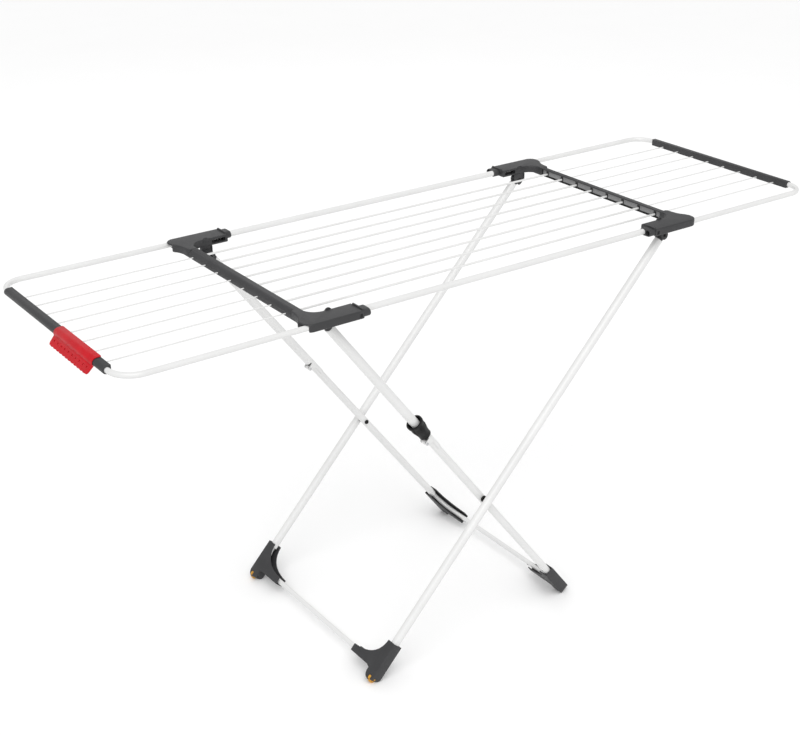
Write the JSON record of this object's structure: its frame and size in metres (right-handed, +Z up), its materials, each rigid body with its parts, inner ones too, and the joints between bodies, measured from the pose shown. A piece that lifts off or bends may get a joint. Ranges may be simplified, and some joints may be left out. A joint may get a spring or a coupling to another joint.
{
  "type": "clothes drying rack",
  "caption": "Free-standing clothes drying rack: a long table of thin white lines between grey crossbars, pull-out wings, and crossed folding tube legs with a knee.",
  "frame": {"origin": "on the floor under the middle of the table", "axes": "+Z up, +X along the rack from the gripped wing to the plain wing, +Y across the rack from its front rail to its back rail"},
  "size_m": [1.8755, 0.5946, 0.938],
  "materials": {
    "white_tube": "white powder coat",
    "grey_plastic": "fine satin moulding",
    "black_plastic": "satin moulding",
    "red_plastic": "semi-gloss moulding",
    "amber_plastic": "semi-gloss, slightly translucent",
    "zinc_steel": "zinc plated"
  },
  "bodies": {
    "table": {"crossbar_left": "grey_plastic", "crossbar_right": "grey_plastic", "side_rail_back": "white_tube", "side_rail_front": "white_tube", "line_tube_1": "white_tube", "line_tube_2": "white_tube", "line_tube_3": "white_tube", "line_tube_4": "white_tube", "line_tube_5": "white_tube", "line_tube_6": "white_tube", "line_tube_7": "white_tube", "line_tube_8": "white_tube", "pivot_pin_inner_back": "black_plastic", "pivot_pin_inner_front": "black_plastic", "pivot_pin_outer_back": "black_plastic", "pivot_pin_outer_front": "black_plastic"},
    "left_wing": {"wing_tube_left": "white_tube", "end_bar_left": "grey_plastic", "hand_grip": "red_plastic", "wing_rod_left_1": "white_tube", "wing_rod_left_2": "white_tube", "wing_rod_left_3": "white_tube", "wing_rod_left_4": "white_tube", "wing_rod_left_5": "white_tube", "wing_rod_left_6": "white_tube", "wing_rod_left_7": "white_tube", "wing_rod_left_8": "white_tube"},
    "right_wing": {"wing_tube_right": "white_tube", "end_bar_right": "grey_plastic", "wing_rod_right_1": "white_tube", "wing_rod_right_2": "white_tube", "wing_rod_right_3": "white_tube", "wing_rod_right_4": "white_tube", "wing_rod_right_5": "white_tube", "wing_rod_right_6": "white_tube", "wing_rod_right_7": "white_tube", "wing_rod_right_8": "white_tube"},
    "inner_upper_legs": {"leg_top_inner_back": "grey_plastic", "leg_top_inner_front": "grey_plastic", "inner_upper_leg_back": "white_tube", "inner_upper_leg_front": "white_tube", "knee_pin_back": "zinc_steel", "knee_pin_front": "zinc_steel"},
    "lock_sleeve": {"lock_sleeve": "black_plastic"},
    "inner_lower_legs": {"inner_lower_leg_back": "white_tube", "inner_lower_leg_front": "white_tube", "crossing_rivet_back": "black_plastic", "crossing_rivet_front": "black_plastic", "foot_bar_right": "white_tube", "foot_right_back": "grey_plastic", "foot_right_front": "grey_plastic"},
    "outer_frame": {"leg_top_outer_back": "grey_plastic", "leg_top_outer_front": "grey_plastic", "outer_leg_back": "white_tube", "outer_leg_front": "white_tube", "foot_bar_left": "white_tube", "foot_left_back": "grey_plastic", "foot_left_front": "grey_plastic"},
    "wheel_back": {"wheel_back": "amber_plastic"},
    "wheel_front": {"wheel_front": "amber_plastic"}
  },
  "joints": [
    {"name": "outer_fold", "type": "hinge", "parent": "table", "child": "outer_frame", "pos_m": [0.455, 0, 0.9002], "axis": [0, 1, 0], "range_deg": [0, 39]},
    {"name": "inner_fold", "type": "hinge", "parent": "table", "child": "inner_upper_legs", "pos_m": [-0.455, 0, 0.9002], "axis": [0, -1, 0], "range_deg": [0, 49.4]},
    {"name": "knee_fold", "type": "hinge", "parent": "inner_upper_legs", "child": "inner_lower_legs", "pos_m": [-0.20694, 0, 0.55411], "axis": [0, 1, 0], "range_deg": [0, 163.7]},
    {"name": "left_wing_slide", "type": "slide", "parent": "table", "child": "left_wing", "axis": [1, 0, 0], "range_m": [0, 0.325]},
    {"name": "right_wing_slide", "type": "slide", "parent": "table", "child": "right_wing", "axis": [-1, 0, 0], "range_m": [0, 0.325]},
    {"name": "lock_sleeve_slide", "type": "slide", "parent": "inner_upper_legs", "child": "lock_sleeve", "axis": [-0.6043, 0, 0.7968], "range_m": [0, 0.03]},
    {"name": "wheel_back_spin", "type": "hinge", "parent": "outer_frame", "child": "wheel_back", "pos_m": [-0.37188, 0.2625, 0.0115], "axis": [0, 1, 0], "continuous": true},
    {"name": "wheel_front_spin", "type": "hinge", "parent": "outer_frame", "child": "wheel_front", "pos_m": [-0.37188, -0.2625, 0.0115], "axis": [0, 1, 0], "continuous": true}
  ],
  "couplings": [
    {"joint": "inner_fold", "follows": "outer_fold", "ratio": 1.266},
    {"joint": "knee_fold", "follows": "outer_fold", "ratio": 4.1965}
  ]
}
